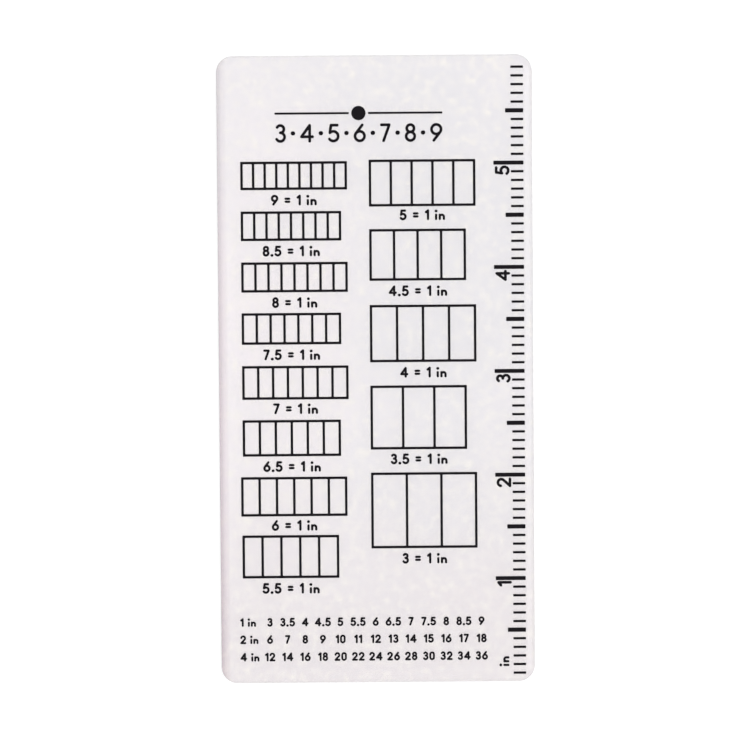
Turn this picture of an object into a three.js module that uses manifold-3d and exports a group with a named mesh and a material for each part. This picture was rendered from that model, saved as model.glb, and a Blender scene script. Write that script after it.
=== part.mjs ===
// A flat see-through gauge for crochet and knitting: one moulded plastic plate with stitch grids,
// an inch scale and a small heading ornament printed on its top face.
// Millimetres, +Z up. The plate lies flat, its ruler side towards +X and its far end towards +Y,
// and the origin is the middle of its underside.

import * as THREE from "three";
import { mergeVertices } from "three/addons/utils/BufferGeometryUtils.js";
import Module from "manifold-3d";

const wasm = await Module();
wasm.setup();

const INCH = 25.4;

// Plate
const PLATE_WIDTH = 77;
const PLATE_LENGTH = 153.5;
const PLATE_THICKNESS = 3;
const CORNER_RADIUS = 4;
const EDGE_ROUND_ACROSS = 1.9; // how far the rounded edge reaches in over the face
const EDGE_ROUND_DEEP = 1.1; // how far it reaches down the side
const SIDE_LAND = 0.4; // least flat height left on the side between the two rounded edges
const CORNER_STEPS = 12;
const EDGE_STEPS = 8;

// Ink
const INK_FILM = 0.05; // height of the dried film above the face
const GRID_LINE = 0.62;
const NUMERAL_STROKE = 0.68;
const STROKE_STEPS = 16; // steps along one curved pen stroke
const END_STEPS = 6; // steps round the end of a pen stroke

// Stitch grids, stacked in two columns from the far end down. Each row holds the stitches to the
// inch, the height between the middles of its top and bottom lines, and the space left below it,
// down to the middle of the next grid's top line. Where a grid isn't printed flush with its
// column, aside says how far to the right it lies.
const LEFT_GRIDS = [
  { stitches: 9, height: 6.3, below: 5.8 },
  { stitches: 8.5, height: 6.6, below: 5.8 },
  { stitches: 8, height: 6.75, below: 5.65 },
  { stitches: 7.5, height: 7.1, below: 5.8 },
  { stitches: 7, height: 7.65, below: 5.6 },
  { stitches: 6.5, height: 8.3, below: 5.65 },
  { stitches: 6, height: 9.05, below: 5.25, aside: -0.5 },
  { stitches: 5.5, height: 9.95, below: 0, aside: -0.3 },
];
const RIGHT_GRIDS = [
  { stitches: 5, height: 10.8, below: 6.1 },
  { stitches: 4.5, height: 12, below: 6.5, width: 23 },
  { stitches: 4, height: 13.4, below: 6.3 },
  { stitches: 3.5, height: 15.05, below: 6.25, width: 23 },
  { stitches: 3, height: 18, below: 0 },
];
const LEFT_COLUMN = { fromSide: 6.05, fromEnd: 26.05, grids: LEFT_GRIDS };
const RIGHT_COLUMN = { fromSide: 37.35, fromEnd: 25.75, grids: RIGHT_GRIDS };

// Inch scale along the ruler side, counted from the near end
const TWELFTH = INCH / 12;
const SCALE_FROM_SIDE = 2.2; // from the plate's side to the marks' outer ends
const SCALE_END_SPACE = 2.3; // least space left past the last mark
const SCALE_START = 0.1; // the zero lies this far in from the near end
const TWELFTH_MARK_LENGTH = 3.1;
const HALF_MARK = { length: 4.45, line: 1.05 };
const INCH_MARK = { length: 7.35, line: 0.98 };
const NUMERAL_HEIGHT = 3.62;
const NUMERAL_TO_MARK = 0.2; // between a numeral and the inch mark above it
const NUMERAL_TO_TWELFTHS = 0.3; // between a numeral's foot and the twelfth marks' inner ends

// Heading ornament: a rule, a dot and a rule in one line
const HEADING_FROM_SIDE = 34.65;
const HEADING_FROM_END = 14.1;
const HEADING_DOT_DIAMETER = 3.5;
const HEADING_DOT_STEPS = 32; // steps round the dot
const HEADING_RULE = { length: 18.1, line: 0.51 };
const HEADING_GAP = 0.6; // between the dot and each rule

const LEFT_SIDE = -PLATE_WIDTH / 2;
const RIGHT_SIDE = PLATE_WIDTH / 2;
const NEAR_END = -PLATE_LENGTH / 2;
const FAR_END = PLATE_LENGTH / 2;

const gauge = new THREE.Group();

function clearPlastic() {
  return new THREE.MeshStandardMaterial({
    color: 0xf0edee,
    roughness: 0.25,
    metalness: 0,
    transparent: true,
    opacity: 0.6,
  });
}

function blackInk() {
  return new THREE.MeshStandardMaterial({ color: 0x1e1c23, roughness: 0.45, metalness: 0 });
}

function addPiece(name, geometry, material) {
  const piece = new THREE.Mesh(geometry, material);
  piece.name = name;
  gauge.add(piece);
  return piece;
}

// Print lies on the plate's top face.
function addPrint(name, geometry, x, y) {
  const print = addPiece(name, geometry, blackInk());
  print.position.set(x, y, PLATE_THICKNESS);
  return print;
}

function inkFilm(shape) {
  return new THREE.ExtrudeGeometry(shape, { depth: INK_FILM, bevelEnabled: false });
}

// A rectangle with its middle at x, y.
function rectangle(x, y, width, height) {
  const shape = new THREE.Shape();
  shape.moveTo(x - width / 2, y - height / 2);
  shape.lineTo(x + width / 2, y - height / 2);
  shape.lineTo(x + width / 2, y + height / 2);
  shape.lineTo(x - width / 2, y + height / 2);
  shape.closePath();
  return shape;
}

// Plate: a rounded rectangle, its edges rounded alike on both faces.

function roundedRectangle(width, length, radius) {
  const x = width / 2;
  const y = length / 2;
  const quarter = Math.PI / 2;
  const shape = new THREE.Shape();
  shape.absarc(x - radius, y - radius, radius, 0, quarter);
  shape.absarc(radius - x, y - radius, radius, quarter, 2 * quarter);
  shape.absarc(radius - x, radius - y, radius, 2 * quarter, 3 * quarter);
  shape.absarc(x - radius, radius - y, radius, 3 * quarter, 4 * quarter);
  shape.closePath();
  return shape;
}

function addPlate() {
  const deep = Math.min(EDGE_ROUND_DEEP, (PLATE_THICKNESS - SIDE_LAND) / 2);
  const outline = roundedRectangle(PLATE_WIDTH, PLATE_LENGTH, CORNER_RADIUS);
  const geometry = new THREE.ExtrudeGeometry(outline, {
    depth: PLATE_THICKNESS - 2 * deep,
    curveSegments: CORNER_STEPS,
    bevelThickness: deep,
    bevelSize: EDGE_ROUND_ACROSS,
    bevelOffset: -EDGE_ROUND_ACROSS,
    bevelSegments: EDGE_STEPS,
  });
  geometry.translate(0, 0, deep);
  addPiece("plate", geometry, clearPlastic());
}

// Stitch grids: two long lines with a bar across at each side of every cell, and a cell for each
// whole stitch that fits in one inch. The top line's left end is the grid's own origin.

// A film cut along every edge of its lines falls into rectangles that are all ink or all open.
// It is made of the faces round the inked ones. xs and ys are the edges, in rising order.
function latticeFilm(xs, ys, inked) {
  const corners = [];
  const face = (a, b, c, d) => corners.push(...a, ...b, ...c, ...a, ...c, ...d);
  const neighbours = [[0, -1], [1, 0], [0, 1], [-1, 0]];
  const addRectangle = (column, row) => {
    const [left, right] = xs.slice(column, column + 2);
    const [low, high] = ys.slice(row, row + 2);
    const under = [[left, low, 0], [right, low, 0], [right, high, 0], [left, high, 0]];
    const top = under.map(([x, y]) => [x, y, INK_FILM]);
    face(...top);
    face(...under.toReversed());
    neighbours.forEach(([across, up], side) => {
      const next = (side + 1) % neighbours.length;
      const open = !inked(column + across, row + up);
      if (open) face(under[side], under[next], top[next], top[side]);
    });
  };
  for (let column = 0; column < xs.length - 1; column += 1) {
    for (let row = 0; row < ys.length - 1; row += 1) {
      if (inked(column, row)) addRectangle(column, row);
    }
  }
  const geometry = new THREE.BufferGeometry();
  geometry.setAttribute("position", new THREE.Float32BufferAttribute(corners, 3));
  geometry.computeVertexNormals();
  return geometry;
}

function gridFilm(cells, cellWidth, height) {
  const edges = (middle) => [middle - GRID_LINE / 2, middle + GRID_LINE / 2];
  const bars = Array.from({ length: cells + 1 }, (_, bar) => bar * cellWidth);
  const cellRow = 1;
  return latticeFilm(bars.flatMap(edges), [-height, 0].flatMap(edges), (column, row) => {
    const within = column >= 0 && column <= 2 * cells && row >= 0 && row <= 2;
    const isBar = column % 2 === 0;
    return within && (isBar || row !== cellRow);
  });
}

function addGridColumn(column) {
  let top = FAR_END - column.fromEnd;
  for (const grid of column.grids) {
    const cells = Math.floor(grid.stitches);
    const width = grid.width ?? (cells * INCH) / grid.stitches;
    const name = `stitch_grid_${String(grid.stitches).replace(".", "_")}`;
    const film = gridFilm(cells, width / cells, grid.height);
    addPrint(name, film, LEFT_SIDE + column.fromSide + (grid.aside ?? 0), top);
    top -= grid.height + grid.below;
  }
}

// Heading ornament.

function addHeading() {
  const x = LEFT_SIDE + HEADING_FROM_SIDE;
  const y = FAR_END - HEADING_FROM_END;
  const radius = HEADING_DOT_DIAMETER / 2;
  const dot = new THREE.Shape();
  dot.absarc(0, 0, radius, 0, 2 * Math.PI);
  const film = new THREE.ExtrudeGeometry(dot, {
    depth: INK_FILM,
    bevelEnabled: false,
    curveSegments: HEADING_DOT_STEPS / 2,
  });
  addPrint("heading_dot", film, x, y);
  const reach = radius + HEADING_GAP + HEADING_RULE.length / 2;
  const rule = rectangle(0, 0, HEADING_RULE.length, HEADING_RULE.line);
  addPrint("heading_rule_left", inkFilm(rule), x - reach, y);
  addPrint("heading_rule_right", inkFilm(rule), x + reach, y);
}

// Numerals: each is drawn with a round pen of even width, as a few strokes that run together.

function line(x1, y1, x2, y2) {
  return new THREE.LineCurve(new THREE.Vector2(x1, y1), new THREE.Vector2(x2, y2));
}

// An arc given in degrees. It runs clockwise where it ends at a smaller angle than it starts.
function arc(x, y, radius, from, to) {
  const start = THREE.MathUtils.degToRad(from);
  const end = THREE.MathUtils.degToRad(to);
  return new THREE.EllipseCurve(x, y, radius, radius, start, end, to < from);
}

// The bowls' radii, where a numeral's middle line is 1 high.
const TWO_BOWL = 0.28;
const FIVE_BOWL = 0.305;
const SIX_BOWL = 0.3;
const UPPER_BOWL = 0.23;
const LOWER_BOWL = 0.27;

// The two's slope rises from its foot at 0, 0 and runs into the bowl without a kink. The bowl
// also touches the line x = 0, so its centre lies midway between the two directions.
function twoStrokes() {
  const [x, y] = [TWO_BOWL, 1 - TWO_BOWL];
  const towardsCentre = THREE.MathUtils.radToDeg(Math.atan2(y, x));
  const slopeEnd = 2 * towardsCentre - 180;
  const bowl = arc(x, y, TWO_BOWL, 170, slopeEnd);
  const meeting = bowl.getPoint(1);
  return [bowl, line(meeting.x, meeting.y, 0, 0), line(0, 0, 0.58, 0)];
}

function ring(x, y, radius) {
  return [arc(x, y, radius, 0, 180), arc(x, y, radius, 180, 360)];
}

// A ring round x, y with a straight tail that starts at its tip and runs into the ring's side
// without a kink, as in the six and, turned by half a turn, in the nine.
function tailedRing(tip, x, y, radius) {
  const centre = new THREE.Vector2(x, y);
  const towardsTip = tip.clone().sub(centre);
  const turn = Math.acos(radius / towardsTip.length());
  const meeting = towardsTip.setLength(radius).add(centre).rotateAround(centre, turn);
  return [line(tip.x, tip.y, meeting.x, meeting.y), ...ring(x, y, radius)];
}

// The strokes of each numeral's middle line, which is 1 high and stands on y = 0.
const NUMERALS = {
  1: [line(0.24, 0, 0.24, 1), line(0.24, 1, 0, 0.8)],
  2: twoStrokes(),
  3: [
    arc(LOWER_BOWL, 1 - UPPER_BOWL, UPPER_BOWL, 150, -90),
    arc(LOWER_BOWL, LOWER_BOWL, LOWER_BOWL, 90, -150),
  ],
  4: [line(0.52, 0, 0.52, 1), line(0.52, 1, 0, 0.28), line(0, 0.28, 0.7, 0.28)],
  5: [
    line(0.5, 1, 0.1, 1),
    line(0.1, 1, 0.034, 0.52),
    arc(0.25, FIVE_BOWL, FIVE_BOWL, 135, -145),
  ],
  6: tailedRing(new THREE.Vector2(0.46, 1), SIX_BOWL, SIX_BOWL, SIX_BOWL),
  7: [line(0, 1, 0.5, 1), line(0.5, 1, 0.14, 0)],
  8: [
    ...ring(LOWER_BOWL, 1 - UPPER_BOWL, UPPER_BOWL),
    ...ring(LOWER_BOWL, LOWER_BOWL, LOWER_BOWL),
  ],
  9: tailedRing(new THREE.Vector2(0.14, 0), SIX_BOWL, 1 - SIX_BOWL, SIX_BOWL),
};

// The outline of a round pen's stroke along a curve: up its right side, round its end, back
// down its left side and round its start.
function strokeShape(curve, height, pen) {
  const steps = curve.isLineCurve ? 1 : STROKE_STEPS;
  const outline = [];
  const edgePoint = (t, turn) => {
    const along = curve.getTangent(t);
    const across = new THREE.Vector2(along.y, -along.x).rotateAround(new THREE.Vector2(), turn);
    return curve.getPoint(t).multiplyScalar(height).addScaledVector(across, pen / 2);
  };
  for (let step = 0; step < steps; step += 1) outline.push(edgePoint(step / steps, 0));
  for (let step = 0; step < END_STEPS; step += 1) {
    outline.push(edgePoint(1, (Math.PI * step) / END_STEPS));
  }
  for (let step = steps; step > 0; step -= 1) outline.push(edgePoint(step / steps, Math.PI));
  for (let step = 0; step < END_STEPS; step += 1) {
    outline.push(edgePoint(0, Math.PI + (Math.PI * step) / END_STEPS));
  }
  return new THREE.Shape(outline);
}

function solidOf(geometry) {
  const bare = new THREE.BufferGeometry();
  bare.setAttribute("position", geometry.getAttribute("position"));
  const merged = mergeVertices(bare);
  const vertProperties = merged.getAttribute("position").array;
  const triVerts = new Uint32Array(merged.index.array);
  return new wasm.Manifold(new wasm.Mesh({ numProp: 3, vertProperties, triVerts }));
}

function geometryOf(solid) {
  const mesh = solid.getMesh();
  const geometry = new THREE.BufferGeometry();
  geometry.setAttribute("position", new THREE.BufferAttribute(mesh.vertProperties, 3));
  geometry.setIndex(new THREE.BufferAttribute(mesh.triVerts, 1));
  geometry.computeVertexNormals();
  return geometry;
}

// One film of ink from shapes that run into each other.
function joinedFilm(shapes) {
  const films = shapes.map((shape) => solidOf(inkFilm(shape)));
  return geometryOf(films.reduce((joined, film) => joined.add(film)));
}

// A numeral's film, its foot on y = 0 and its right-hand edge on x = 0.
function numeralFilm(strokes, height, pen) {
  const geometry = joinedFilm(strokes.map((curve) => strokeShape(curve, height - pen, pen)));
  geometry.computeBoundingBox();
  geometry.translate(-geometry.boundingBox.max.x, pen / 2, 0);
  return geometry;
}

// Inch scale: long marks at the inches, shorter ones at the half inches, and numerals that read
// upwards, each just under its inch mark. Past 9 inches a scale goes on without numerals.

function addScale() {
  const outerEnd = RIGHT_SIDE - SCALE_FROM_SIDE;
  const zero = NEAR_END + SCALE_START;
  const markCount = Math.floor((PLATE_LENGTH - SCALE_START - SCALE_END_SPACE) / TWELFTH);
  const addMark = (name, size, y) => {
    const film = inkFilm(rectangle(-size.length / 2, 0, size.length, size.line));
    addPrint(name, film, outerEnd, y);
  };
  for (let twelfths = 6; twelfths <= markCount; twelfths += 12) {
    const inches = Math.floor(twelfths / 12);
    addMark(`half_inch_mark_${inches}_5`, HALF_MARK, zero + twelfths * TWELFTH);
  }
  const foot = outerEnd - TWELFTH_MARK_LENGTH - NUMERAL_TO_TWELFTHS;
  for (let inches = 1; inches * 12 <= markCount; inches += 1) {
    const y = zero + inches * INCH;
    addMark(`inch_mark_${inches}`, INCH_MARK, y);
    const strokes = NUMERALS[inches];
    if (!strokes) continue;
    const film = numeralFilm(strokes, NUMERAL_HEIGHT, NUMERAL_STROKE);
    const numeral = addPrint(
      `numeral_${inches}`,
      film,
      foot,
      y - INCH_MARK.line / 2 - NUMERAL_TO_MARK,
    );
    numeral.rotation.z = Math.PI / 2;
  }
}

addPlate();
addGridColumn(LEFT_COLUMN);
addGridColumn(RIGHT_COLUMN);
addHeading();
addScale();

export default gauge;
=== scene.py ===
# %% [markdown]
# A see-through gauge for crochet and knitting
#
# The real gauge is one flat plate of clear plastic with black print on its top face. It is laid
# on the work, and the grid whose cells match the stitches gives the count to the inch. A packed
# model already fixes every size and place. This lesson loads it, makes a finer mesh for each
# piece that shows, and gives each surface its finish. Blender works in metres, so a size in
# millimetres is written as a number times MM.

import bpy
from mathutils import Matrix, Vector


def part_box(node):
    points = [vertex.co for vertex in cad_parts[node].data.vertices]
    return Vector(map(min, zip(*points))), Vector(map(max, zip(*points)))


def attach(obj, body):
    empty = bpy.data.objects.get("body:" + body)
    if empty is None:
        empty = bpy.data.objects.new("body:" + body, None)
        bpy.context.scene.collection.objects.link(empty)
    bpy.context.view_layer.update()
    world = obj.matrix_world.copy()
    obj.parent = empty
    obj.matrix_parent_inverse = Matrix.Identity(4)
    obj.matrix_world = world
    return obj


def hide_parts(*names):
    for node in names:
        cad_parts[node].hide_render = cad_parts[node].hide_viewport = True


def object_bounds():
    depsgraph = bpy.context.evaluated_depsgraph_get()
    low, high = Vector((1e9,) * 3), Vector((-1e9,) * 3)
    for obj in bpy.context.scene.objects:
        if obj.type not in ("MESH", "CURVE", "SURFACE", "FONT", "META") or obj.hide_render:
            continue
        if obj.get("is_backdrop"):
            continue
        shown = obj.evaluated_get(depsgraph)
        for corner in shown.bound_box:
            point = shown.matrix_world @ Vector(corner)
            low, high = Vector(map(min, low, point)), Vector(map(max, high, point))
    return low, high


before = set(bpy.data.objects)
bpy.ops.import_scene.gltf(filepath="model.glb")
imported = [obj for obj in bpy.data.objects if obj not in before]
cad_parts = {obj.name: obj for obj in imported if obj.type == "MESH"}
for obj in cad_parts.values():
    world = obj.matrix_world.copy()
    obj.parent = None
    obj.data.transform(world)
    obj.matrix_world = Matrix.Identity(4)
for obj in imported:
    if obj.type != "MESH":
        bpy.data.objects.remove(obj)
cad_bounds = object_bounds()
print("nodes in the packed model:", len(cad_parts))

# %% Measure the plate
import math

import bmesh
import bpy
from mathutils import Matrix, Vector

MM = 0.001
scene = bpy.context.scene
plate_low, plate_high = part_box("plate")
plate_width, plate_length, plate_thickness = plate_high - plate_low
plate_top = plate_high.z
print(f"plate {plate_width / MM:.1f} by {plate_length / MM:.1f} by {plate_thickness / MM:.1f} mm")

# %% [markdown]
# The camera
#
# The photograph looks straight down from about half a metre, and the plate lies turned and leant
# by a degree or two. An orthographic camera would be simpler, but the marks at the far end stand
# a little wider apart than those at the near end, so a real distance and a long lens are used.
# The three small angles turn the plate into the camera's axes. Their inverse turns the camera
# round the plate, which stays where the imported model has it.

# %% Camera
CAMERA_DISTANCE = 550 * MM
VIEW_WIDTH = 183.3 * MM  # how much of the print's plane the square picture spans
AIM = Vector((-0.28 * MM, -1.2 * MM, plate_top))
TURN = math.radians(0.43)
LEAN = math.radians(1.76)
SLANT = math.radians(0.14)


def add_camera():
    data = bpy.data.cameras.new("camera")
    data.lens = data.sensor_width * CAMERA_DISTANCE / VIEW_WIDTH
    camera = bpy.data.objects.new("camera", data)
    scene.collection.objects.link(camera)
    plate_to_camera = (
        Matrix.Rotation(SLANT, 4, "Y") @ Matrix.Rotation(LEAN, 4, "X") @ Matrix.Rotation(TURN, 4, "Z")
    )
    facing = plate_to_camera.inverted()
    backwards = facing.col[2].to_3d()
    camera.matrix_world = Matrix.Translation(AIM + CAMERA_DISTANCE * backwards) @ facing
    scene.camera = camera
    return camera


camera = add_camera()
print(f"lens {camera.data.lens:.0f} mm, {camera.location.z / MM:.0f} mm above the floor")

# %% [markdown]
# Nodes from Python
#
# Materials, the world and Geometry Nodes are all node trees. Adding nodes by hand takes four or
# five lines each, so one small class adds a node in a single call: its type, its settings, then
# the values or links of its sockets. A second class wraps an output socket. Python's own signs
# on two such values, or on one and a number, each add the Math node that does it.

# %% One method that adds any node
class Nodes:
    """A node tree that is being built, a node at a time."""

    def __init__(self, tree):
        self.tree = tree

    def add(self, kind, settings=None, sockets=None, output=0):
        """A value is a number, a link or a list of links, for a socket that takes several."""
        node = self.tree.nodes.new(kind)
        for name, setting in (settings or {}).items():
            setattr(node, name, setting)
        for name, value in (sockets or {}).items():
            for given in value if isinstance(value, list) else [value]:
                if isinstance(given, Value):
                    self.tree.links.new(given.socket, node.inputs[name])
                else:
                    node.inputs[name].default_value = given
        return Value(self, node.outputs[output]) if node.outputs else node

    def math(self, operation, first, second=0.0):
        return self.add("ShaderNodeMath", {"operation": operation}, {0: first, 1: second})

    def vector(self, x, y, z):
        return self.add("ShaderNodeCombineXYZ", None, {"X": x, "Y": y, "Z": z})

    def ramp(self, value, start, end):
        """Rises evenly from 0, where the value is start, to 1, where it is end. It is level past them."""
        sockets = {"Value": value, "From Min": start, "From Max": end}
        return self.add("ShaderNodeMapRange", {"clamp": True}, sockets)


# %% Arithmetic on sockets
class Value:
    """One output socket of a node, on which Python arithmetic works."""

    def __init__(self, nodes, socket):
        self.nodes = nodes
        self.socket = socket

    def output(self, name):
        return Value(self.nodes, self.socket.node.outputs[name])

    def __add__(self, other):
        return self.nodes.math("ADD", self, other)

    def __radd__(self, other):
        return self.nodes.math("ADD", other, self)

    def __sub__(self, other):
        return self.nodes.math("SUBTRACT", self, other)

    def __rsub__(self, other):
        return self.nodes.math("SUBTRACT", other, self)

    def __mul__(self, other):
        return self.nodes.math("MULTIPLY", self, other)

    def __rmul__(self, other):
        return self.nodes.math("MULTIPLY", other, self)

    def __truediv__(self, other):
        return self.nodes.math("DIVIDE", self, other)

    def __mod__(self, other):
        return self.nodes.math("FLOORED_MODULO", self, other)

    def __lt__(self, other):
        return self.nodes.math("LESS_THAN", self, other)


# %% [markdown]
# Floor, light and background
#
# The gauge was photographed on pure white. Enough lamp light to burn a white floor out would burn
# out the pale plate too, so the floor shines a little by itself, and only for the rays that see
# it: the camera's, and those that come by way of gloss or clear plastic. The rest of its
# brightness is real light, which is what leaves the plate its soft shadow. The light comes mostly
# from the right, as in the photograph, where the plate's left edge is the dark one. A lamp's watts
# say little about how bright its light is, so they are worked out from the share wanted: a level
# face gets less with the cube of the lamp's distance, and more with its height.

# %% Rays that see the background
def seen_rays(nodes):
    path = nodes.add("ShaderNodeLightPath")
    seen = nodes.math("MAXIMUM", path.output("Is Camera Ray"), path.output("Is Glossy Ray"))
    return nodes.math("MAXIMUM", seen, path.output("Is Transmission Ray"))


# %% Floor
FLOOR_SIDE = 4000 * MM
FLOOR_GAP = 0.05 * MM  # air under the plate, so that the two faces don't lie in one plane
FLOOR_GLOW = 0.86
FLOOR_SHADOWED = 0.22  # the part of a seen floor's brightness that the plate can shade
FLOOR_BOUNCE = 0.45  # how much of the light on it the floor sends back to the plate


def add_floor():
    material = bpy.data.materials.new("studio_floor")
    material.use_nodes = True
    material.node_tree.nodes.clear()
    nodes = Nodes(material.node_tree)
    glow = nodes.add("ShaderNodeEmission", None, {"Color": (1, 1, 1, 1), "Strength": FLOOR_GLOW})
    lit = nodes.add("ShaderNodeBsdfDiffuse", None, {"Color": (*[FLOOR_SHADOWED] * 3, 1)})
    bounce = nodes.add("ShaderNodeBsdfDiffuse", None, {"Color": (*[FLOOR_BOUNCE] * 3, 1)})
    seen = nodes.add("ShaderNodeAddShader", None, {0: glow, 1: lit})
    above = nodes.add("ShaderNodeMixShader", None, {0: seen_rays(nodes), 1: bounce, 2: seen})
    below = nodes.add("ShaderNodeBsdfTransparent")
    from_below = nodes.add("ShaderNodeNewGeometry").output("Backfacing")
    shader = nodes.add("ShaderNodeMixShader", None, {0: from_below, 1: above, 2: below})
    nodes.add("ShaderNodeOutputMaterial", None, {"Surface": shader})
    mesh = bpy.data.meshes.new("floor")
    bm = bmesh.new()
    bmesh.ops.create_grid(bm, x_segments=1, y_segments=1, size=FLOOR_SIDE / 2)
    bmesh.ops.translate(bm, verts=bm.verts, vec=(0, 0, plate_low.z - FLOOR_GAP))
    bm.to_mesh(mesh)
    bm.free()
    mesh.materials.append(material)
    floor = bpy.data.objects.new("floor", mesh)
    scene.collection.objects.link(floor)
    floor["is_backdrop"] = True
    return floor


floor = add_floor()
print(f"{floor.name} {FLOOR_SIDE} m wide, {FLOOR_GAP / MM} mm under the plate")

# %% World
WORLD_LIGHT = 0.895
WORLD_LEAN = 2.2  # how fast it dims towards the left
WORLD_RIGHT = 0.06  # how far to the right it goes on growing brighter
WORLD_ENDS = 1.8  # how much brighter it is beyond the plate's two ends


def set_world():
    world = bpy.data.worlds.new("studio")
    world.use_nodes = True
    world.node_tree.nodes.clear()
    nodes = Nodes(world.node_tree)
    seen = seen_rays(nodes)
    direction = nodes.add("ShaderNodeTexCoord").output("Generated")
    axes = nodes.add("ShaderNodeSeparateXYZ", None, {"Vector": direction})
    right, far = axes.output("X"), axes.output("Y")
    lean = nodes.math("MINIMUM", right, WORLD_RIGHT) * WORLD_LEAN
    brightness = nodes.math("MAXIMUM", 1 + lean + far * far * WORLD_ENDS, 0.0)
    strength = seen + (1 - seen) * WORLD_LIGHT * brightness
    background = nodes.add("ShaderNodeBackground", None, {"Color": (1, 1, 1, 1), "Strength": strength})
    nodes.add("ShaderNodeOutputWorld", None, {"Surface": background})
    scene.world = world


set_world()
scene.view_settings.view_transform = "Standard"
print(f"world {WORLD_LIGHT}, {1 + WORLD_LEAN * WORLD_RIGHT:.2f} times as bright from the right")

# %% Lamp
LAMP_PLACE = Vector((700, 0, 1200)) * MM
LAMP_SIDE = 1100 * MM
LAMP_SHARE = 0.175  # of the light on a level face, where 1 shows a colour as written


def add_softbox():
    data = bpy.data.lights.new("right_softbox", "AREA")
    data.size = LAMP_SIDE
    data.energy = LAMP_SHARE * math.pi**2 * LAMP_PLACE.length**3 / LAMP_PLACE.z
    lamp = bpy.data.objects.new("right_softbox", data)
    scene.collection.objects.link(lamp)
    lamp.location = LAMP_PLACE
    lamp.rotation_euler = (-LAMP_PLACE).to_track_quat("-Z", "Y").to_euler()
    return lamp


lamp = add_softbox()
print(f"{lamp.name} {lamp.data.energy:.1f} W, {LAMP_PLACE.length:.2f} m away")

# %% [markdown]
# Clear plastic
#
# The plate isn't quite water clear: it takes a little off the white behind it and has a faint milky cast,
# cool on the right and rosy at the near end. Towards the left, away from the far end, it is paler and
# warmer: partly a warm tint, and partly painted light that makes up for the dimmer light from the left. A
# glass shader alone would vanish against the floor. One Principled shader that is part glass and part
# plain diffuse gives both, and the same mix can be exported.
#
# The casts are laid over each other by ramps. Clouds of two centimetres push their borders about, so that
# no border is a straight line, and a finer mottling and haze lie over them. The left side is the darkest
# part, because its round edge turns away from the light, and painted shade deepens it: grey at the far
# end and rosy at the near one. A gentle bump stands for the moulding's waviness, and fine noise in the
# roughness for the handling marks of a tool that is slid over yarn.

# %% Mixing colours
MIX_FACTOR, MIX_FIRST, MIX_SECOND, MIX_RESULT = 0, 6, 7, 2  # the colour sockets of a Mix node


def blend(nodes, share, first, second, way="MIX"):
    settings = {"data_type": "RGBA", "blend_type": way}
    sockets = {MIX_FACTOR: share, MIX_FIRST: first, MIX_SECOND: second}
    return nodes.add("ShaderNodeMix", settings, sockets, MIX_RESULT)


def new_material(name):
    material = bpy.data.materials.new(name)
    material.use_nodes = True
    material.node_tree.nodes.clear()
    return material, Nodes(material.node_tree)


def noise(nodes, place, scale, detail=2.0):
    sockets = {"Vector": place, "Scale": scale, "Detail": detail}
    return nodes.add("ShaderNodeTexNoise", None, sockets, "Fac")


# %% Casts of the plastic
COOL_CAST = (0.880, 0.862, 0.887, 1)
# paler and warmer colour for the left: partly a warm tint, partly painted light
WARM_TINT_AND_PAINTED_LIGHT = (0.957, 0.912, 0.934, 1)
ROSE_CAST = (0.880, 0.835, 0.851, 1)
CREAM_CAST = (0.985, 0.955, 0.905, 1)
HAZE_CAST = (0.880, 0.860, 0.880, 1)
# painted shade for the left edge, which turns away from the light: greyer at the far end, rosier at the
# near one
FAR_RIM_PAINTED_SHADE = (0.890, 0.872, 0.890, 1)
NEAR_RIM_PAINTED_SHADE = (0.840, 0.780, 0.815, 1)

# Each pair says where a cast starts to show and where it is full.
WARM_AND_PAINTED_LIGHT_LEFTWARDS = (0.45, 0.7)  # shares of the way from the right side to the left
WARM_AND_PAINTED_LIGHT_NEARWARDS = (-0.1, 0.36)  # shares of the way from the far end to the near one
ROSE_NEARWARDS = (0.6, 0.9)
RIM_SHADE_NEARWARDS = (0.1, 0.55)
CREAM_IN_MOTTLE = (0.48, 0.8)  # heights of the noise
HAZE_IN_NOISE = (0.45, 1.0)
RIM_SHADE_FROM_SIDE = (2.4 * MM, 0.6 * MM)  # distances from the left side

CLOUD_SCALE = 45.0  # per metre: clouds of about two centimetres
MOTTLE_SCALE = 420.0
HAZE_SCALE = 900.0
NOISE_MIDDLE = 0.5
# the clouds also push the border of the painted light on the left
CLOUD_ON_WARM_AND_PAINTED_LIGHT = 1.4  # how far the clouds push the warm cast's border
CLOUD_ON_ROSE = 0.3


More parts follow.
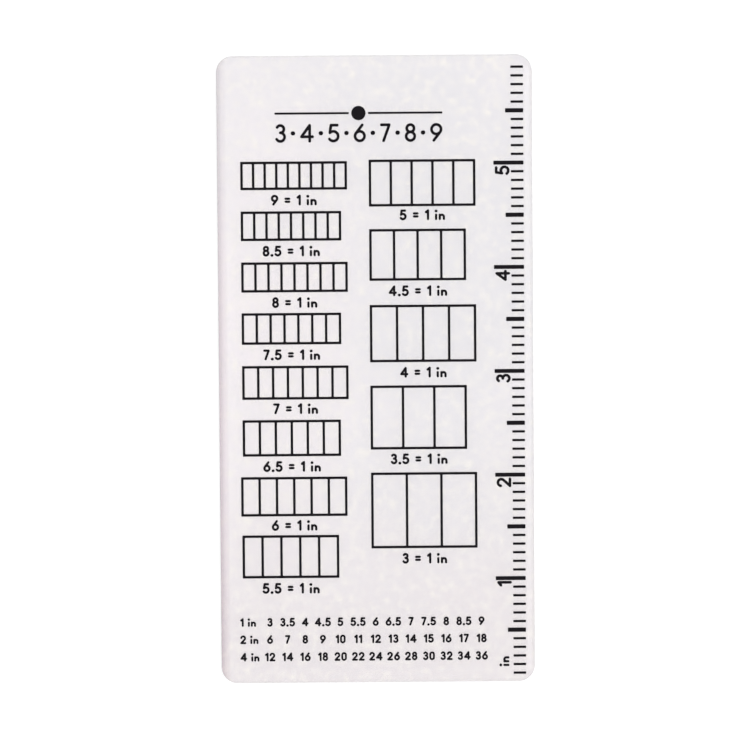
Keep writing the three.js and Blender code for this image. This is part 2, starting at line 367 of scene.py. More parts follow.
def plastic_tint_painted_light_and_shade(nodes, place):
    axes = nodes.add("ShaderNodeSeparateXYZ", None, {"Vector": place})
    leftness = 0.5 - axes.output("X") / plate_width
    nearness = 0.5 - axes.output("Y") / plate_length
    sway = noise(nodes, place, CLOUD_SCALE) - NOISE_MIDDLE
    # painted light with a warm tint: the face is made paler on the left, where the light from the left is
    # dimmer
    warm_and_painted_light = nodes.ramp(leftness, *WARM_AND_PAINTED_LIGHT_LEFTWARDS) * nodes.ramp(nearness, *WARM_AND_PAINTED_LIGHT_NEARWARDS)
    warm_and_painted_light = nodes.ramp(warm_and_painted_light + sway * CLOUD_ON_WARM_AND_PAINTED_LIGHT, 0.0, 1.0)
    tint_and_painted_light = blend(nodes, warm_and_painted_light, COOL_CAST, WARM_TINT_AND_PAINTED_LIGHT)
    rose = nodes.ramp(nearness + sway * CLOUD_ON_ROSE, *ROSE_NEARWARDS)
    tint_and_painted_light = blend(nodes, rose, tint_and_painted_light, ROSE_CAST)
    cream = nodes.ramp(noise(nodes, place, MOTTLE_SCALE), *CREAM_IN_MOTTLE)
    tint_and_painted_light = blend(nodes, cream, tint_and_painted_light, CREAM_CAST)
    haze = nodes.ramp(noise(nodes, place, HAZE_SCALE), *HAZE_IN_NOISE)
    tint_and_painted_light = blend(nodes, haze, tint_and_painted_light, HAZE_CAST)
    # painted shade along the left edge, within 2.4 mm of the side, darker towards the near end
    rim_shade_share = nodes.ramp(axes.output("X") - plate_low.x, *RIM_SHADE_FROM_SIDE)
    rim_shade_colour = blend(nodes, nodes.ramp(nearness, *RIM_SHADE_NEARWARDS), FAR_RIM_PAINTED_SHADE, NEAR_RIM_PAINTED_SHADE)
    return blend(nodes, rim_shade_share, tint_and_painted_light, rim_shade_colour, "MULTIPLY")


# %% Plastic
CLEARNESS = 0.86
PLASTIC_IOR = 1.49
PLASTIC_ROUGHNESS = 0.03
SCUFF_SCALE = 1500.0
SCUFF_DETAIL = 4.0
SCUFF_DULLNESS = 0.06
SCUFF_HEIGHT = 0.02  # beside the waves' height
WAVE_HEIGHT = 0.05 * MM
WAVE_STRENGTH = 0.12


def clear_plastic():
    material, nodes = new_material("milky_plastic")
    place = nodes.add("ShaderNodeTexCoord").output("Object")
    scuffs = noise(nodes, place, SCUFF_SCALE, SCUFF_DETAIL)
    relief = noise(nodes, place, CLOUD_SCALE) + scuffs * SCUFF_HEIGHT
    waves = nodes.add(
        "ShaderNodeBump",
        None,
        {"Height": relief, "Strength": WAVE_STRENGTH, "Distance": WAVE_HEIGHT},
    )
    plastic = nodes.add(
        "ShaderNodeBsdfPrincipled",
        None,
        {
            "Base Color": plastic_tint_painted_light_and_shade(nodes, place),
            "Roughness": PLASTIC_ROUGHNESS + scuffs * SCUFF_DULLNESS,
            "IOR": PLASTIC_IOR,
            "Transmission Weight": CLEARNESS,
            "Normal": waves,
        },
    )
    nodes.add("ShaderNodeOutputMaterial", None, {"Surface": plastic})
    return material


plastic = clear_plastic()
print(f"{plastic.name}: {len(plastic.node_tree.nodes)} nodes")

# %% [markdown]
# Black ink
#
# Screen ink dries to a dull, slightly uneven film. Plain black would read as a hole, so the ink
# is a very dark violet grey, as in the photograph, with a weak and broad shine.

# %% Ink
INK_DARK = (0.0035, 0.0028, 0.0042, 1)
INK_LIGHT = (0.008, 0.0062, 0.0088, 1)
INK_ROUGHNESS = 0.5
INK_SHINE = 0.08
INK_GRAIN_SCALE = 2600.0
INK_GRAIN_DETAIL = 3.0
INK_GRAIN_DULLNESS = 0.2
INK_GRAIN_HEIGHT = 0.01 * MM
INK_GRAIN_STRENGTH = 0.3


def black_ink():
    material, nodes = new_material("screen_ink")
    place = nodes.add("ShaderNodeTexCoord").output("Object")
    grain = noise(nodes, place, INK_GRAIN_SCALE, INK_GRAIN_DETAIL)
    density = noise(nodes, place, MOTTLE_SCALE)
    bump = nodes.add(
        "ShaderNodeBump",
        None,
        {"Height": grain, "Strength": INK_GRAIN_STRENGTH, "Distance": INK_GRAIN_HEIGHT},
    )
    ink = nodes.add(
        "ShaderNodeBsdfPrincipled",
        None,
        {
            "Base Color": blend(nodes, density, INK_DARK, INK_LIGHT),
            "Roughness": INK_ROUGHNESS + grain * INK_GRAIN_DULLNESS,
            "Specular IOR Level": INK_SHINE,
            "Normal": bump,
        },
    )
    nodes.add("ShaderNodeOutputMaterial", None, {"Surface": ink})
    return material


ink = black_ink()
print(f"{ink.name}: {len(ink.node_tree.nodes)} nodes")

# %% [markdown]
# Pieces from Geometry Nodes
#
# Every shape on this gauge follows a rule: a rounded plate, bars that repeat, and type that
# repeats a few signs. Geometry Nodes suit that. Each tree below has named inputs for its sizes,
# and ends in Realize Instances and Set Material. A helper runs a tree once, keeps its result as
# a plain mesh and takes the modifier off, so that nothing live is left on the piece.

# %% Trees with named inputs
def new_tree(name, inputs):
    tree = bpy.data.node_groups.new(name, "GeometryNodeTree")
    for label, kind in inputs.items():
        tree.interface.new_socket(label, in_out="INPUT", socket_type="NodeSocket" + kind)
    tree.interface.new_socket("Result", in_out="OUTPUT", socket_type="NodeSocketGeometry")
    nodes = Nodes(tree)
    given = nodes.add("NodeGroupInput")
    return tree, nodes, {label: given.output(label) for label in inputs}


def end_tree(nodes, geometry, material):
    solid = nodes.add("GeometryNodeRealizeInstances", None, {"Geometry": geometry})
    painted = nodes.add("GeometryNodeSetMaterial", None, {"Geometry": solid, "Material": material})
    nodes.add("NodeGroupOutput", None, {"Result": painted})


# %% Run a tree and keep its mesh
def run_tree(name, tree, inputs, points=None):
    """Makes an object of the tree's result. points are places with attributes that it may use."""
    piece = bpy.data.objects.new(name, points or bpy.data.meshes.new(name))
    scene.collection.objects.link(piece)
    modifier = piece.modifiers.new("rule", "NODES")
    modifier.node_group = tree
    for socket in tree.interface.items_tree:
        if socket.name in inputs:
            modifier[socket.identifier] = inputs[socket.name]
    shown = piece.evaluated_get(bpy.context.evaluated_depsgraph_get())
    mesh = bpy.data.meshes.new_from_object(shown)
    piece.modifiers.clear()
    piece.data = mesh
    mesh.name = name
    mesh.materials.clear()  # a tree can leave an empty slot before the one that it sets
    mesh.materials.append(inputs["Material"])
    mesh.polygons.foreach_set("material_index", [0] * len(mesh.polygons))
    return piece


def settle(piece, slot, *nodes):
    """Puts a finished piece on the gauge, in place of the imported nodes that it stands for."""
    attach(piece, "root")
    if nodes:
        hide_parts(*nodes)


# %% [markdown]
# The plate
#
# The real plate is moulded with round corners and softly rounded edges. A bevelled box would do
# from afar, but its corner and edge roundings differ, so a rule is used instead. A cylinder
# already has the right topology, two flat ends and rings between them. Each vertex knows its
# ring and its spoke from its index: the ring gives how far the edge has turned, and the spoke
# gives the corner and the angle round it. One flat ring inside the rounding keeps the shading
# of the big faces level. Rings are counted in whole numbers, so a test against a half, such as
# ring < 1.5, leaves no doubt about rounding.

# %% A rounded plate by rule
CORNER_RADIUS = 4 * MM
EDGE_ROUND_ACROSS = 1.9 * MM
EDGE_ROUND_DEEP = 1.1 * MM
FACE_RING = 0.4 * MM  # from the rounding's start to the flat ring inside it
CORNER_STEPS = 24
EDGE_STEPS = 14
QUARTER_TURN = math.pi / 2


def plate_tree():
    sizes = ["Width", "Length", "Thickness", "Corner", "Across", "Deep"]
    tree, nodes, size = new_tree("plate_rule", {**dict.fromkeys(sizes, "Float"), "Material": "Material"})
    spokes = 4 * (CORNER_STEPS + 1)
    last_ring = 2 * EDGE_STEPS + 3  # each half has its flat ring and EDGE_STEPS + 1 round ones
    body = nodes.add(
        "GeometryNodeMeshCylinder",
        {"fill_type": "NGON"},
        {"Vertices": spokes, "Side Segments": last_ring},
    )
    index = nodes.add("GeometryNodeInputIndex")
    ring = nodes.math("FLOOR", index / spokes)
    spoke = index % spokes
    corner = nodes.math("FLOOR", spoke / (CORNER_STEPS + 1))
    turned = (corner + (spoke % (CORNER_STEPS + 1)) / CORNER_STEPS) * QUARTER_TURN
    middle = (corner + 0.5) * QUARTER_TURN
    side_x = nodes.math("SIGN", nodes.math("COSINE", middle))
    side_y = nodes.math("SIGN", nodes.math("SINE", middle))
    from_face = nodes.math("MINIMUM", ring, last_ring - ring)
    rolled = nodes.math("MAXIMUM", from_face - 1, 0.0) / EDGE_STEPS * QUARTER_TURN
    inset = size["Across"] * (1 - nodes.math("SINE", rolled)) + (from_face < 0.5) * FACE_RING
    drop = size["Deep"] * (1 - nodes.math("COSINE", rolled))
    radius = size["Corner"] - inset
    x = side_x * (size["Width"] / 2 - size["Corner"]) + radius * nodes.math("COSINE", turned)
    y = side_y * (size["Length"] / 2 - size["Corner"]) + radius * nodes.math("SINE", turned)
    upper = ring < EDGE_STEPS + 1.5
    z = upper * (size["Thickness"] - drop) + (1 - upper) * drop
    placed = nodes.add(
        "GeometryNodeSetPosition", None, {"Geometry": body, "Position": nodes.vector(x, y, z)}
    )
    smooth = nodes.add("GeometryNodeSetShadeSmooth", None, {"Geometry": placed})
    end_tree(nodes, smooth, size["Material"])
    return tree


# %% Make the plate
plate = run_tree(
    "clear_plate",
    plate_tree(),
    {
        "Width": plate_width,
        "Length": plate_length,
        "Thickness": plate_thickness,
        "Corner": CORNER_RADIUS,
        "Across": EDGE_ROUND_ACROSS,
        "Deep": EDGE_ROUND_DEEP,
        "Material": plastic,
    },
)
settle(plate, "clear_plastic", "plate")
print("plate vertices:", len(plate.data.vertices))

# %% [markdown]
# Printed bars and grids
#
# Each grid is one film of ink: a frame with a bar at each side of every cell. Its outline is a
# rectangle, its cells are smaller rectangles inside it, and Fill Curve leaves the inner ones
# open. Ink draws its corners round as it dries, so both get a small fillet. The flat shape is
# then raised by the height of the film. A rectangle without cells is a plain bar, so the same
# tree also draws the rules of the heading and the marks of the scale.

# %% A film of ink over a flat shape
INK_BITE = 0.05 * MM  # how far the ink keys into the face
CORNER_SOFTNESS = 0.14 * MM
FILLET_STEPS = 5
SAME_POINT = 0.001 * MM  # points closer than this become one


def film_over(nodes, curves, height):
    flat = nodes.add("GeometryNodeFillCurve", {"mode": "NGONS"}, {"Curve": curves})
    raised = nodes.add(
        "GeometryNodeExtrudeMesh",
        None,
        {"Mesh": flat, "Offset": (0, 0, 1), "Offset Scale": height, "Individual": False},
    )
    under = nodes.add("GeometryNodeFlipFaces", None, {"Mesh": flat})
    both = nodes.add("GeometryNodeJoinGeometry", None, {"Geometry": [raised, under]})
    return nodes.add("GeometryNodeMergeByDistance", None, {"Geometry": both, "Distance": SAME_POINT})


def soft_rectangle(nodes, width, height, softness, steps=FILLET_STEPS):
    rectangle = nodes.add(
        "GeometryNodeCurvePrimitiveQuadrilateral", None, {"Width": width, "Height": height}
    )
    return nodes.add(
        "GeometryNodeFilletCurve",
        {"mode": "POLY"},
        {"Curve": rectangle, "Count": steps, "Radius": softness, "Limit Radius": True},
    )


# %% Grid of open cells
def grid_tree():
    sizes = ["Width", "Height", "Line", "Softness", "Film"]
    inputs = {"Cells": "Int", "Steps": "Int", **dict.fromkeys(sizes, "Float")}
    inputs |= {"Place": "Vector", "Material": "Material"}
    tree, nodes, size = new_tree("ink_grid", inputs)
    frame_line = soft_rectangle(
        nodes, size["Width"], size["Height"], size["Softness"], size["Steps"]
    )
    pitch = (size["Width"] - size["Line"]) / size["Cells"]
    cell = soft_rectangle(
        nodes, pitch - size["Line"], size["Height"] - 2 * size["Line"], size["Softness"]
    )
    first = (1 - size["Cells"]) * pitch / 2
    row = nodes.add(
        "GeometryNodeMeshLine",
        None,
        {
            "Count": size["Cells"],
            "Start Location": nodes.vector(first, 0.0, 0.0),
            "Offset": nodes.vector(pitch, 0.0, 0.0),
        },
    )
    cells = nodes.add("GeometryNodeInstanceOnPoints", None, {"Points": row, "Instance": cell})
    outline = nodes.add("GeometryNodeJoinGeometry", None, {"Geometry": [frame_line, cells]})
    shape = nodes.add("GeometryNodeRealizeInstances", None, {"Geometry": outline})
    film = film_over(nodes, shape, size["Film"])
    placed = nodes.add("GeometryNodeTransform", None, {"Geometry": film, "Translation": size["Place"]})
    end_tree(nodes, placed, size["Material"])
    return tree


ink_grid = grid_tree()
print(f"{ink_grid.name}: {len(ink_grid.nodes)} nodes")


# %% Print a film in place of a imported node
def print_bars(node, cells=0, line=0.0, softness=CORNER_SOFTNESS, steps=FILLET_STEPS):
    low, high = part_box(node)
    middle = (low + high) / 2
    film_bottom = low.z - INK_BITE
    piece = run_tree(
        "ink_" + node,
        ink_grid,
        {
            "Cells": cells,
            "Steps": steps,
            "Width": high.x - low.x,
            "Height": high.y - low.y,
            "Line": line,
            "Softness": softness,
            "Film": high.z - film_bottom,
            "Place": (middle.x, middle.y, film_bottom),
            "Material": ink,
        },
    )
    settle(piece, "black_ink", node)
    return piece


# %% Stitch grids
GRID_LINE = 0.62 * MM


def stitches_of(node):
    """The count to the inch, from a name such as stitch_grid_8_5."""
    return float(node.removeprefix("stitch_grid_").replace("_", "."))


grid_nodes = sorted((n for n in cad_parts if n.startswith("stitch_grid_")), key=stitches_of)
for node in grid_nodes:
    print_bars(node, math.floor(stitches_of(node)), GRID_LINE)
print("grids:", [stitches_of(node) for node in grid_nodes])

# %% [markdown]
# Signs as pen strokes
#
# The digits of the print have lines of one width with round ends, as if drawn with a felt pen. A
# font would give digits too, but its lines grow and shrink with its size. Here a sign is a few
# strokes, given by their middle lines in a box one high, and a tree draws every stroke with a pen
# of real width. Only signs that any ruler or dial may carry are used: digits, a point, a raised
# dot, an equals sign and the short sign of the inch.

# %% Strokes of a sign
ARC_STEP = 12  # degrees
DOT_REACH = 0.01  # half the length of the stroke that a dot is
DOT_WEIGHT = 1.2  # a dot's width over the pen's
RAISED_DOT_WEIGHT = 1.5


def arc(x, y, radius, start, end):
    steps = math.ceil(abs(end - start) / ARC_STEP)
    turns = [math.radians(start + (end - start) * step / steps) for step in range(steps + 1)]
    return [(x + radius * math.cos(turn), y + radius * math.sin(turn)) for turn in turns]


def line(*points, weight=1.0):
    return {"points": points, "closed": False, "weight": weight}


def loop(*points):
    return {"points": points[:-1], "closed": True, "weight": 1.0}


def dot(x, y, weight=DOT_WEIGHT):
    return {"points": [(x - DOT_REACH, y), (x + DOT_REACH, y)], "closed": False, "weight": weight}


def tailed_ring(tip, x, y, radius):
    """A ring and a straight tail that leaves it smoothly and ends at tip."""
    away = Vector(tip) - Vector((x, y))
    turn = math.atan2(away.y, away.x) + math.acos(radius / away.length)
    touch = (x + radius * math.cos(turn), y + radius * math.sin(turn))
    return [line(tip, touch), loop(*arc(x, y, radius, 0, 360))]


# %% The signs
LOW_LETTER = 0.48  # height of a letter without a stem
TWO_BOWL = 0.28
TWO_NECK = 2 * math.degrees(math.atan2(1 - TWO_BOWL, TWO_BOWL)) - 180
FIVE_BOWL = 0.305
N_ARCH = 0.24
EQUALS_HEIGHTS = (0.31, 0.66)
EQUALS_WEIGHT = 0.75  # thin, so that the two bars stay apart

SIGNS = {
    "0": [loop(*arc(0.27, 0.73, 0.27, 0, 180), *arc(0.27, 0.27, 0.27, 180, 360))],
    "1": [line((0.24, 0), (0.24, 1)), line((0.24, 1), (0, 0.8))],
    "2": [line(*arc(TWO_BOWL, 1 - TWO_BOWL, TWO_BOWL, 170, TWO_NECK), (0, 0)), line((0, 0), (0.58, 0))],
    "3": [line(*arc(0.27, 0.77, 0.23, 150, -90)), line(*arc(0.27, 0.27, 0.27, 90, -150))],
    "4": [line((0.52, 0), (0.52, 1)), line((0.52, 1), (0, 0.28)), line((0, 0.28), (0.7, 0.28))],
    "5": [
        line((0.5, 1), (0.1, 1)),
        line((0.1, 1), (0.034, 0.52)),
        line(*arc(0.25, FIVE_BOWL, FIVE_BOWL, 135, -145)),
    ],
    "6": tailed_ring((0.46, 1), 0.3, 0.3, 0.3),
    "7": [line((0, 1), (0.5, 1)), line((0.5, 1), (0.14, 0))],
    "8": [loop(*arc(0.27, 0.77, 0.23, 0, 360)), loop(*arc(0.27, 0.27, 0.27, 0, 360))],
    "9": tailed_ring((0.14, 0), 0.3, 0.7, 0.3),
    ".": [dot(0, 0)],
    "·": [dot(0, 0.5, RAISED_DOT_WEIGHT)],
    "=": [line((0, y), (0.5, y), weight=EQUALS_WEIGHT) for y in EQUALS_HEIGHTS],
    "i": [line((0, 0), (0, LOW_LETTER)), dot(0, 0.93)],
    "n": [
        line((0, 0), (0, LOW_LETTER)),
        line((0, 0), *arc(N_ARCH, LOW_LETTER - N_ARCH, N_ARCH, 180, 0), (2 * N_ARCH, 0)),
    ],
}


def sign_reach(sign):
    """The least and the greatest x of a sign's middle lines."""
    reached = [x for stroke in SIGNS[sign] for x, y in stroke["points"]]
    return min(reached), max(reached)


# %% One curve object for each sign
def sign_path(sign):
    """The sign's middle lines as a curve object that stays outside the scene."""
    curve = bpy.data.curves.new("sign_path", "CURVE")
    curve.dimensions = "3D"
    for stroke in SIGNS[sign]:
        spline = curve.splines.new("POLY")
        spline.points.add(len(stroke["points"]) - 1)
        for point, (x, y) in zip(spline.points, stroke["points"]):
            point.co = (x, y, 0, 1)
            point.radius = stroke["weight"]
        spline.use_cyclic_u = stroke["closed"]
    return bpy.data.objects.new("sign_path", curve)


sign_paths = {sign: sign_path(sign) for sign in SIGNS}
print("signs:", " ".join(SIGNS))

# %% [markdown]
# A pen with a round tip
#
# Curve to Mesh sweeps a low box along a sign's middle lines, which is the ink that a broad pen
# would leave. The round ends come from short cylinders, put by Instance on Points at the ends of
# the open strokes. Where strokes meet, these shapes overlap. A boolean makes one film of them,
# with a single outline and nothing inside. That takes a tenth of a second, so it's done once for
# each sign and size, and not for each place where the sign is printed.

# %% The pen's tree
ROUND_END_STEPS = 20


def pen_tree():
    inputs = {"Sign": "Object", "Size": "Float", "Pen": "Float", "Film": "Float", "Material": "Material"}
    tree, nodes, given = new_tree("round_pen", inputs)
    path = nodes.add("GeometryNodeObjectInfo", None, {"Object": given["Sign"]}).output("Geometry")
    scale = nodes.vector(given["Size"], given["Size"], given["Size"])
    sized = nodes.add("GeometryNodeTransform", None, {"Geometry": path, "Scale": scale})
    level = nodes.add("GeometryNodeSetCurveNormal", {"mode": "Z_UP"}, {"Curve": sized})
    tip = nodes.add(
        "GeometryNodeCurvePrimitiveQuadrilateral", None, {"Width": given["Pen"], "Height": given["Film"]}
    )
    strokes = nodes.add(
        "GeometryNodeCurveToMesh", None, {"Curve": level, "Profile Curve": tip, "Fill Caps": True}
    )
    is_end = nodes.add("GeometryNodeCurveEndpointSelection")
    is_closed = nodes.add("GeometryNodeInputSplineCyclic")
    weight = nodes.add("GeometryNodeInputRadius")
    round_end = nodes.add(
        "GeometryNodeMeshCylinder",
        {"fill_type": "NGON"},
        {"Vertices": ROUND_END_STEPS, "Radius": given["Pen"] / 2, "Depth": given["Film"]},
    )
    ends = nodes.add(
        "GeometryNodeInstanceOnPoints",
        None,
        {
            "Points": level,
            "Selection": is_end * (1 - is_closed),
            "Instance": round_end,
            "Scale": nodes.vector(weight, weight, 1.0),
        },
    )
    round_ends = nodes.add("GeometryNodeRealizeInstances", None, {"Geometry": ends})
    joined = nodes.add(
        "GeometryNodeMeshBoolean",
        {"operation": "UNION", "solver": "EXACT"},
        {"Mesh 2": [strokes, round_ends], "Self Intersection": True},
    )
    end_tree(nodes, joined, given["Material"])
    return tree


round_pen = pen_tree()
print(f"{round_pen.name}: {len(round_pen.nodes)} nodes")

# %% [markdown]
# Setting type
#
# The print holds about 180 signs. An object for each would be slow to make and hard to keep in
# line. A printer has a case that holds every letter, and picks from it for each place in a line.
# The same is done here. A collection is the case, with one solid of each sign. A mesh of bare
# points says where the signs go, and each point carries the number of its sign, by which Instance
# on Points picks. One tree then sets a whole label, or a whole table, as one piece.

# %% The typesetter's tree
def setting_tree():
    """Puts a solid sign on each point, picked by the number that the point carries."""
    inputs = {"Starts": "Geometry", "Case": "Collection", "Turn": "Vector", "Material": "Material"}
    tree, nodes, given = new_tree("typesetting", inputs)
    case = nodes.add(
        "GeometryNodeCollectionInfo",
        {"transform_space": "ORIGINAL"},
        {"Collection": given["Case"], "Separate Children": True, "Reset Children": True},
    )
    number = nodes.add("GeometryNodeInputNamedAttribute", {"data_type": "INT"}, {"Name": "sign"})
    signs = nodes.add(
        "GeometryNodeInstanceOnPoints",
        None,
        {
            "Points": given["Starts"],
            "Instance": case,
            "Pick Instance": True,
            "Instance Index": number,
            "Rotation": given["Turn"],
        },
    )
    end_tree(nodes, signs, given["Material"])
    return tree


typesetting = setting_tree()
print(f"{typesetting.name}: {len(typesetting.nodes)} nodes")

# %% A case of type
INK_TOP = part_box("numeral_1")[1].z
INK_MIDDLE = (INK_TOP + plate_top - INK_BITE) / 2
FILM = INK_TOP - plate_top + INK_BITE
READS_UPWARDS = (0, 0, QUARTER_TURN)
print(f"film {FILM / MM:.2f} mm high, {INK_BITE / MM:.2f} mm of it in the face")


class TypeCase:
    """Solid signs of one height and pen, and the rules for setting them in a line."""

    def __init__(self, name, signs, height, pen, gap=0.0, blank=0.0):
        self.size = height - pen  # a middle line stays half a pen inside the sign's outline
        self.pen = pen
        self.gap = gap
        self.blank = blank
        self.numbers = {sign: number for number, sign in enumerate(sorted(set(signs) - {" "}))}
        self.case = bpy.data.collections.new(name)  # picked from in the order of its objects' names
        for sign, number in self.numbers.items():
            inputs = {"Sign": sign_paths[sign], "Size": self.size, "Pen": pen, "Film": FILM}
            solid = run_tree(f"{name}_{number:02d}", round_pen, inputs | {"Material": ink})
            scene.collection.objects.unlink(solid)
            self.case.objects.link(solid)

    def starts(self, text):
        """How far along the line each sign starts, and the width of the whole."""
        starts = []
        reached = 0.0
        for sign in text:
            if sign == " ":
                reached += self.blank
            else:
                starts.append((sign, reached + self.pen / 2))
                reached += sign_reach(sign)[1] * self.size + self.pen + self.gap
        return starts, reached - self.gap

    def set(self, text, x, foot, align=0.0):
        """Signs with their places. align is the share of the width that lies left of x."""
        starts, width = self.starts(text)
        left = x - align * width
        return [(sign, left + start, foot + self.pen / 2) for sign, start in starts]

    def print(self, name, signs, turn=(0, 0, 0), node=None):
        points = bpy.data.meshes.new(name)
        points.from_pydata([(x, y, INK_MIDDLE) for _, x, y in signs], [], [])
        numbers = points.attributes.new("sign", "INT", "POINT")
        numbers.data.foreach_set("value", [self.numbers[sign] for sign, _, _ in signs])
        inputs = {"Case": self.case, "Turn": turn, "Material": ink}
        piece = run_tree(name, typesetting, inputs, points)
        settle(piece, "black_ink", *([node] if node else []))
        return piece


# %% [markdown]
# Labels
#
# Under each grid a short label says how many stitches make an inch. Its number comes from the
# name of the grid, and its place from the grid's box, so a label can't stand under another grid.
# On the real gauge a few labels are printed a little closer to their grid than the others are.

# %% Labels
LABEL_DROP = 3.8 * MM  # from the grid's lower edge to the label's foot
LABEL_LIFTS = {5: 0.4 * MM, 6: 0.25 * MM, 7: 0.25 * MM, 3.5: 0.15 * MM}  # by stitches
MIDDLE = 0.5

label_type = TypeCase(
    "label_type", "0123456789.= in", height=2.65 * MM, pen=0.58 * MM, gap=0.3 * MM, blank=1.1 * MM
)
for node in grid_nodes:
    low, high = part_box(node)
    text = f"{stitches_of(node):g} = 1 in"
    foot = low.y - LABEL_DROP + LABEL_LIFTS.get(stitches_of(node), 0)
    signs = label_type.set(text, (low.x + high.x) / 2, foot, MIDDLE)
    label_type.print(node.replace("stitch_grid", "grid_label"), signs)
    print(text)

# %% [markdown]
# Heading
#
# At the head of the plate a thin rule, a dot and a thin rule make one line. Below it stands a row
# of plain numbers, the stitches to the inch that the gauge can tell, spread over the rules'
# width. The rules and the dot could be a plane and a disc each, but the tree that prints bars
# makes them too: the dot is a square whose corners are rounded until no straight side is left.

# %% Heading
HEADING_ROW = "3·4·5·6·7·8·9"
HEADING_DROP = 7.1 * MM  # from the rule's middle to the row's foot
DOT_STEPS = 20

heading_type = TypeCase("heading_type", HEADING_ROW, height=4.55 * MM, pen=0.7 * MM)


def print_heading():
    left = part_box("heading_rule_left")[0]
    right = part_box("heading_rule_right")[1]
    tight_width = heading_type.starts(HEADING_ROW)[1]
    heading_type.gap = (right.x - left.x - tight_width) / (len(HEADING_ROW) - 1)
    foot = (left.y + right.y) / 2 - HEADING_DROP
    heading_type.print("heading_numbers", heading_type.set(HEADING_ROW, left.x, foot))
    print_bars("heading_rule_left")
    print_bars("heading_rule_right")
    dot_low, dot_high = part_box("heading_dot")
    print_bars("heading_dot", softness=(dot_high.x - dot_low.x) / 2, steps=DOT_STEPS)


print_heading()
print(f"heading signs {heading_type.gap / MM:.2f} mm apart")

# %% [markdown]
# Gauge table
#
# The foot of the plate holds three rows of plain numbers: the stitches in one, two and four
# inches, for every grid on the plate. A text object could hold them, but its columns would have
# to be lined up with blanks. Here each number is centred on its column, the numbers are worked
# out from the names of the grids, and all three rows are set as one piece.

# %% Table
TABLE_ROWS = {1: 14.0 * MM, 2: 9.75 * MM, 4: 5.45 * MM}  # inches, and the foot from the near edge
TABLE_START = 4.7 * MM  # from the plate's left edge
FIRST_COLUMN = 12.0 * MM
LAST_COLUMN = 63.9 * MM

table_type = TypeCase(
    "table_type", "0123456789. in", height=2.15 * MM, pen=0.49 * MM, gap=0.21 * MM, blank=0.8 * MM
)


def table_signs():
    signs = []
    pitch = (LAST_COLUMN - FIRST_COLUMN) / (len(grid_nodes) - 1)
    for inches, foot in TABLE_ROWS.items():
        y = plate_low.y + foot
        signs += table_type.set(f"{inches} in", plate_low.x + TABLE_START, y)
        for column, node in enumerate(grid_nodes):
            x = plate_low.x + FIRST_COLUMN + column * pitch
            signs += table_type.set(f"{inches * stitches_of(node):g}", x, y, MIDDLE)
    return signs


table = table_type.print("gauge_table", table_signs())
print("table signs:", len(table_signs()), "faces:", len(table.data.polygons))

# %% [markdown]
# Scale
#
# Along the right edge a scale of inches runs the whole length of the plate, with a mark for each
# twelfth. The inch and half-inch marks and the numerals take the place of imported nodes. An Array
# modifier could repeat a bar for the twelfths between them, but it can't leave a place out. So
# they are one rule: a line of points a twelfth of an inch apart, without each sixth one, and the
# same bar on each point.

# %% Inch marks, half-inch marks and numerals
NUMERAL_PEN = 0.68 * MM

numeral_nodes = [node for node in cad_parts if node.startswith("numeral_")]
numeral_low, numeral_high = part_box(numeral_nodes[0])
numeral_type = TypeCase(
    "numeral_type", "12345", height=numeral_high.x - numeral_low.x, pen=NUMERAL_PEN
)
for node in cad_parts:
    if "inch_mark" in node:
        print_bars(node)
for node in numeral_nodes:
    low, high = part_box(node)
    numeral = node.removeprefix("numeral_")
    start = low.y + NUMERAL_PEN / 2 - sign_reach(numeral)[0] * numeral_type.size
    signs = [(numeral, high.x - NUMERAL_PEN / 2, start)]
    numeral_type.print("ink_" + node, signs, READS_UPWARDS, node)
print("numerals:", len(numeral_nodes))

# %% The unit's sign at the scale's foot
UNIT_FROM_SIDE = 6.3 * MM
UNIT_FROM_END = 3.85 * MM

unit_type = TypeCase("unit_type", "in", height=2.55 * MM, pen=0.57 * MM, gap=0.32 * MM)


def unit_signs():
    x = plate_high.x - UNIT_FROM_SIDE - unit_type.pen / 2
    y = plate_low.y + UNIT_FROM_END
    return [(sign, x, y + start) for sign, start in unit_type.starts("in")[0]]


unit = unit_type.print("unit_sign", unit_signs(), READS_UPWARDS)
print("unit sign faces:", len(unit.data.polygons))

# %% Twelfths of an inch
MARKS_TO_HALF_INCH = 6
TWELFTH_LENGTH = 3.1 * MM
TWELFTH_WIDTH = 0.59 * MM
SCALE_END_SPACE = 2.3 * MM


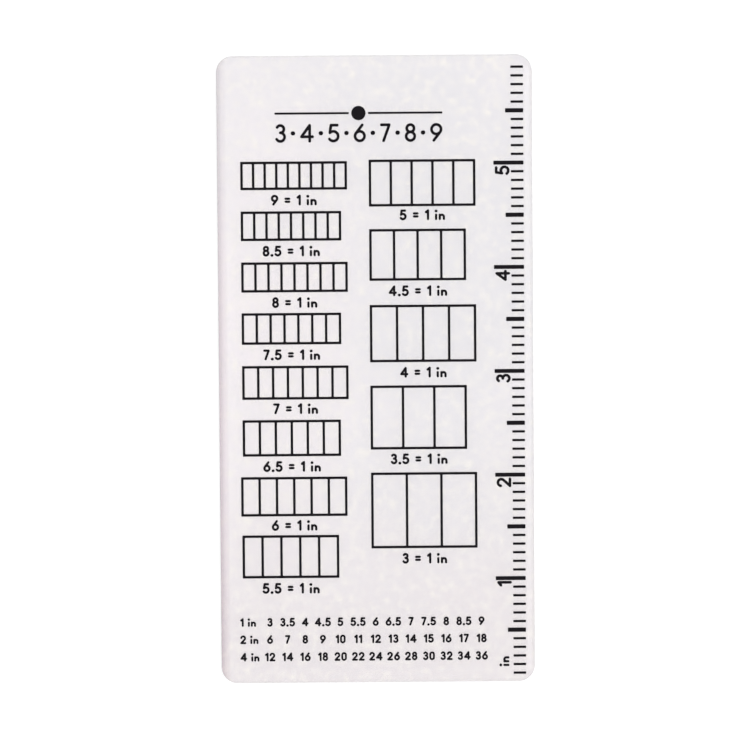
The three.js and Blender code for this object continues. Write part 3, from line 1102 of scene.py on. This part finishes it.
def marks_tree():
    sizes = ["Step", "Length", "Width", "Softness", "Film"]
    inputs = {"Count": "Int", "Leave out each": "Int", **dict.fromkeys(sizes, "Float")}
    inputs |= {"First": "Vector", "Material": "Material"}
    tree, nodes, given = new_tree("scale_marks", inputs)
    row = nodes.add(
        "GeometryNodeMeshLine",
        None,
        {
            "Count": given["Count"],
            "Start Location": given["First"],
            "Offset": nodes.vector(0.0, given["Step"], 0.0),
        },
    )
    number = nodes.add("GeometryNodeInputIndex") + 1
    places = nodes.add(
        "GeometryNodeDeleteGeometry",
        {"domain": "POINT"},
        {"Geometry": row, "Selection": number % given["Leave out each"] < 0.5},
    )
    outline = soft_rectangle(nodes, given["Length"], given["Width"], given["Softness"])
    bar = film_over(nodes, outline, given["Film"])
    marks = nodes.add("GeometryNodeInstanceOnPoints", None, {"Points": places, "Instance": bar})
    end_tree(nodes, marks, given["Material"])
    return tree


def middle_of(node):
    low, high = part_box(node)
    return (low + high) / 2


def print_twelfths():
    half_inch = middle_of("inch_mark_1").y - middle_of("half_inch_mark_0_5").y
    step = half_inch / MARKS_TO_HALF_INCH
    zero = middle_of("half_inch_mark_0_5").y - half_inch
    outer_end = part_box("inch_mark_1")[1].x
    first = (outer_end - TWELFTH_LENGTH / 2, zero + step, plate_top - INK_BITE)
    inputs = {
        "Count": math.floor((plate_high.y - SCALE_END_SPACE - zero) / step),
        "Leave out each": MARKS_TO_HALF_INCH,
        "Step": step,
        "Length": TWELFTH_LENGTH,
        "Width": TWELFTH_WIDTH,
        "Softness": CORNER_SOFTNESS,
        "Film": FILM,
        "First": first,
        "Material": ink,
    }
    piece = run_tree("twelfth_marks", marks_tree(), inputs)
    settle(piece, "black_ink")
    return inputs["Count"], step


twelfths, twelfth = print_twelfths()
print(f"{twelfths} twelfths, {twelfth / MM:.3f} mm apart")

# %% [markdown]
# Sizes and the end
#
# The visual model has to stay in the box of the imported one. Both boxes are printed, in millimetres.

# %% Print the two boxes
visual_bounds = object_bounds()
boxes = {"cad": cad_bounds, "visual": visual_bounds}
for name, box in boxes.items():
    print(name, "box in mm:", [[round(place / MM, 2) for place in corner] for corner in box])
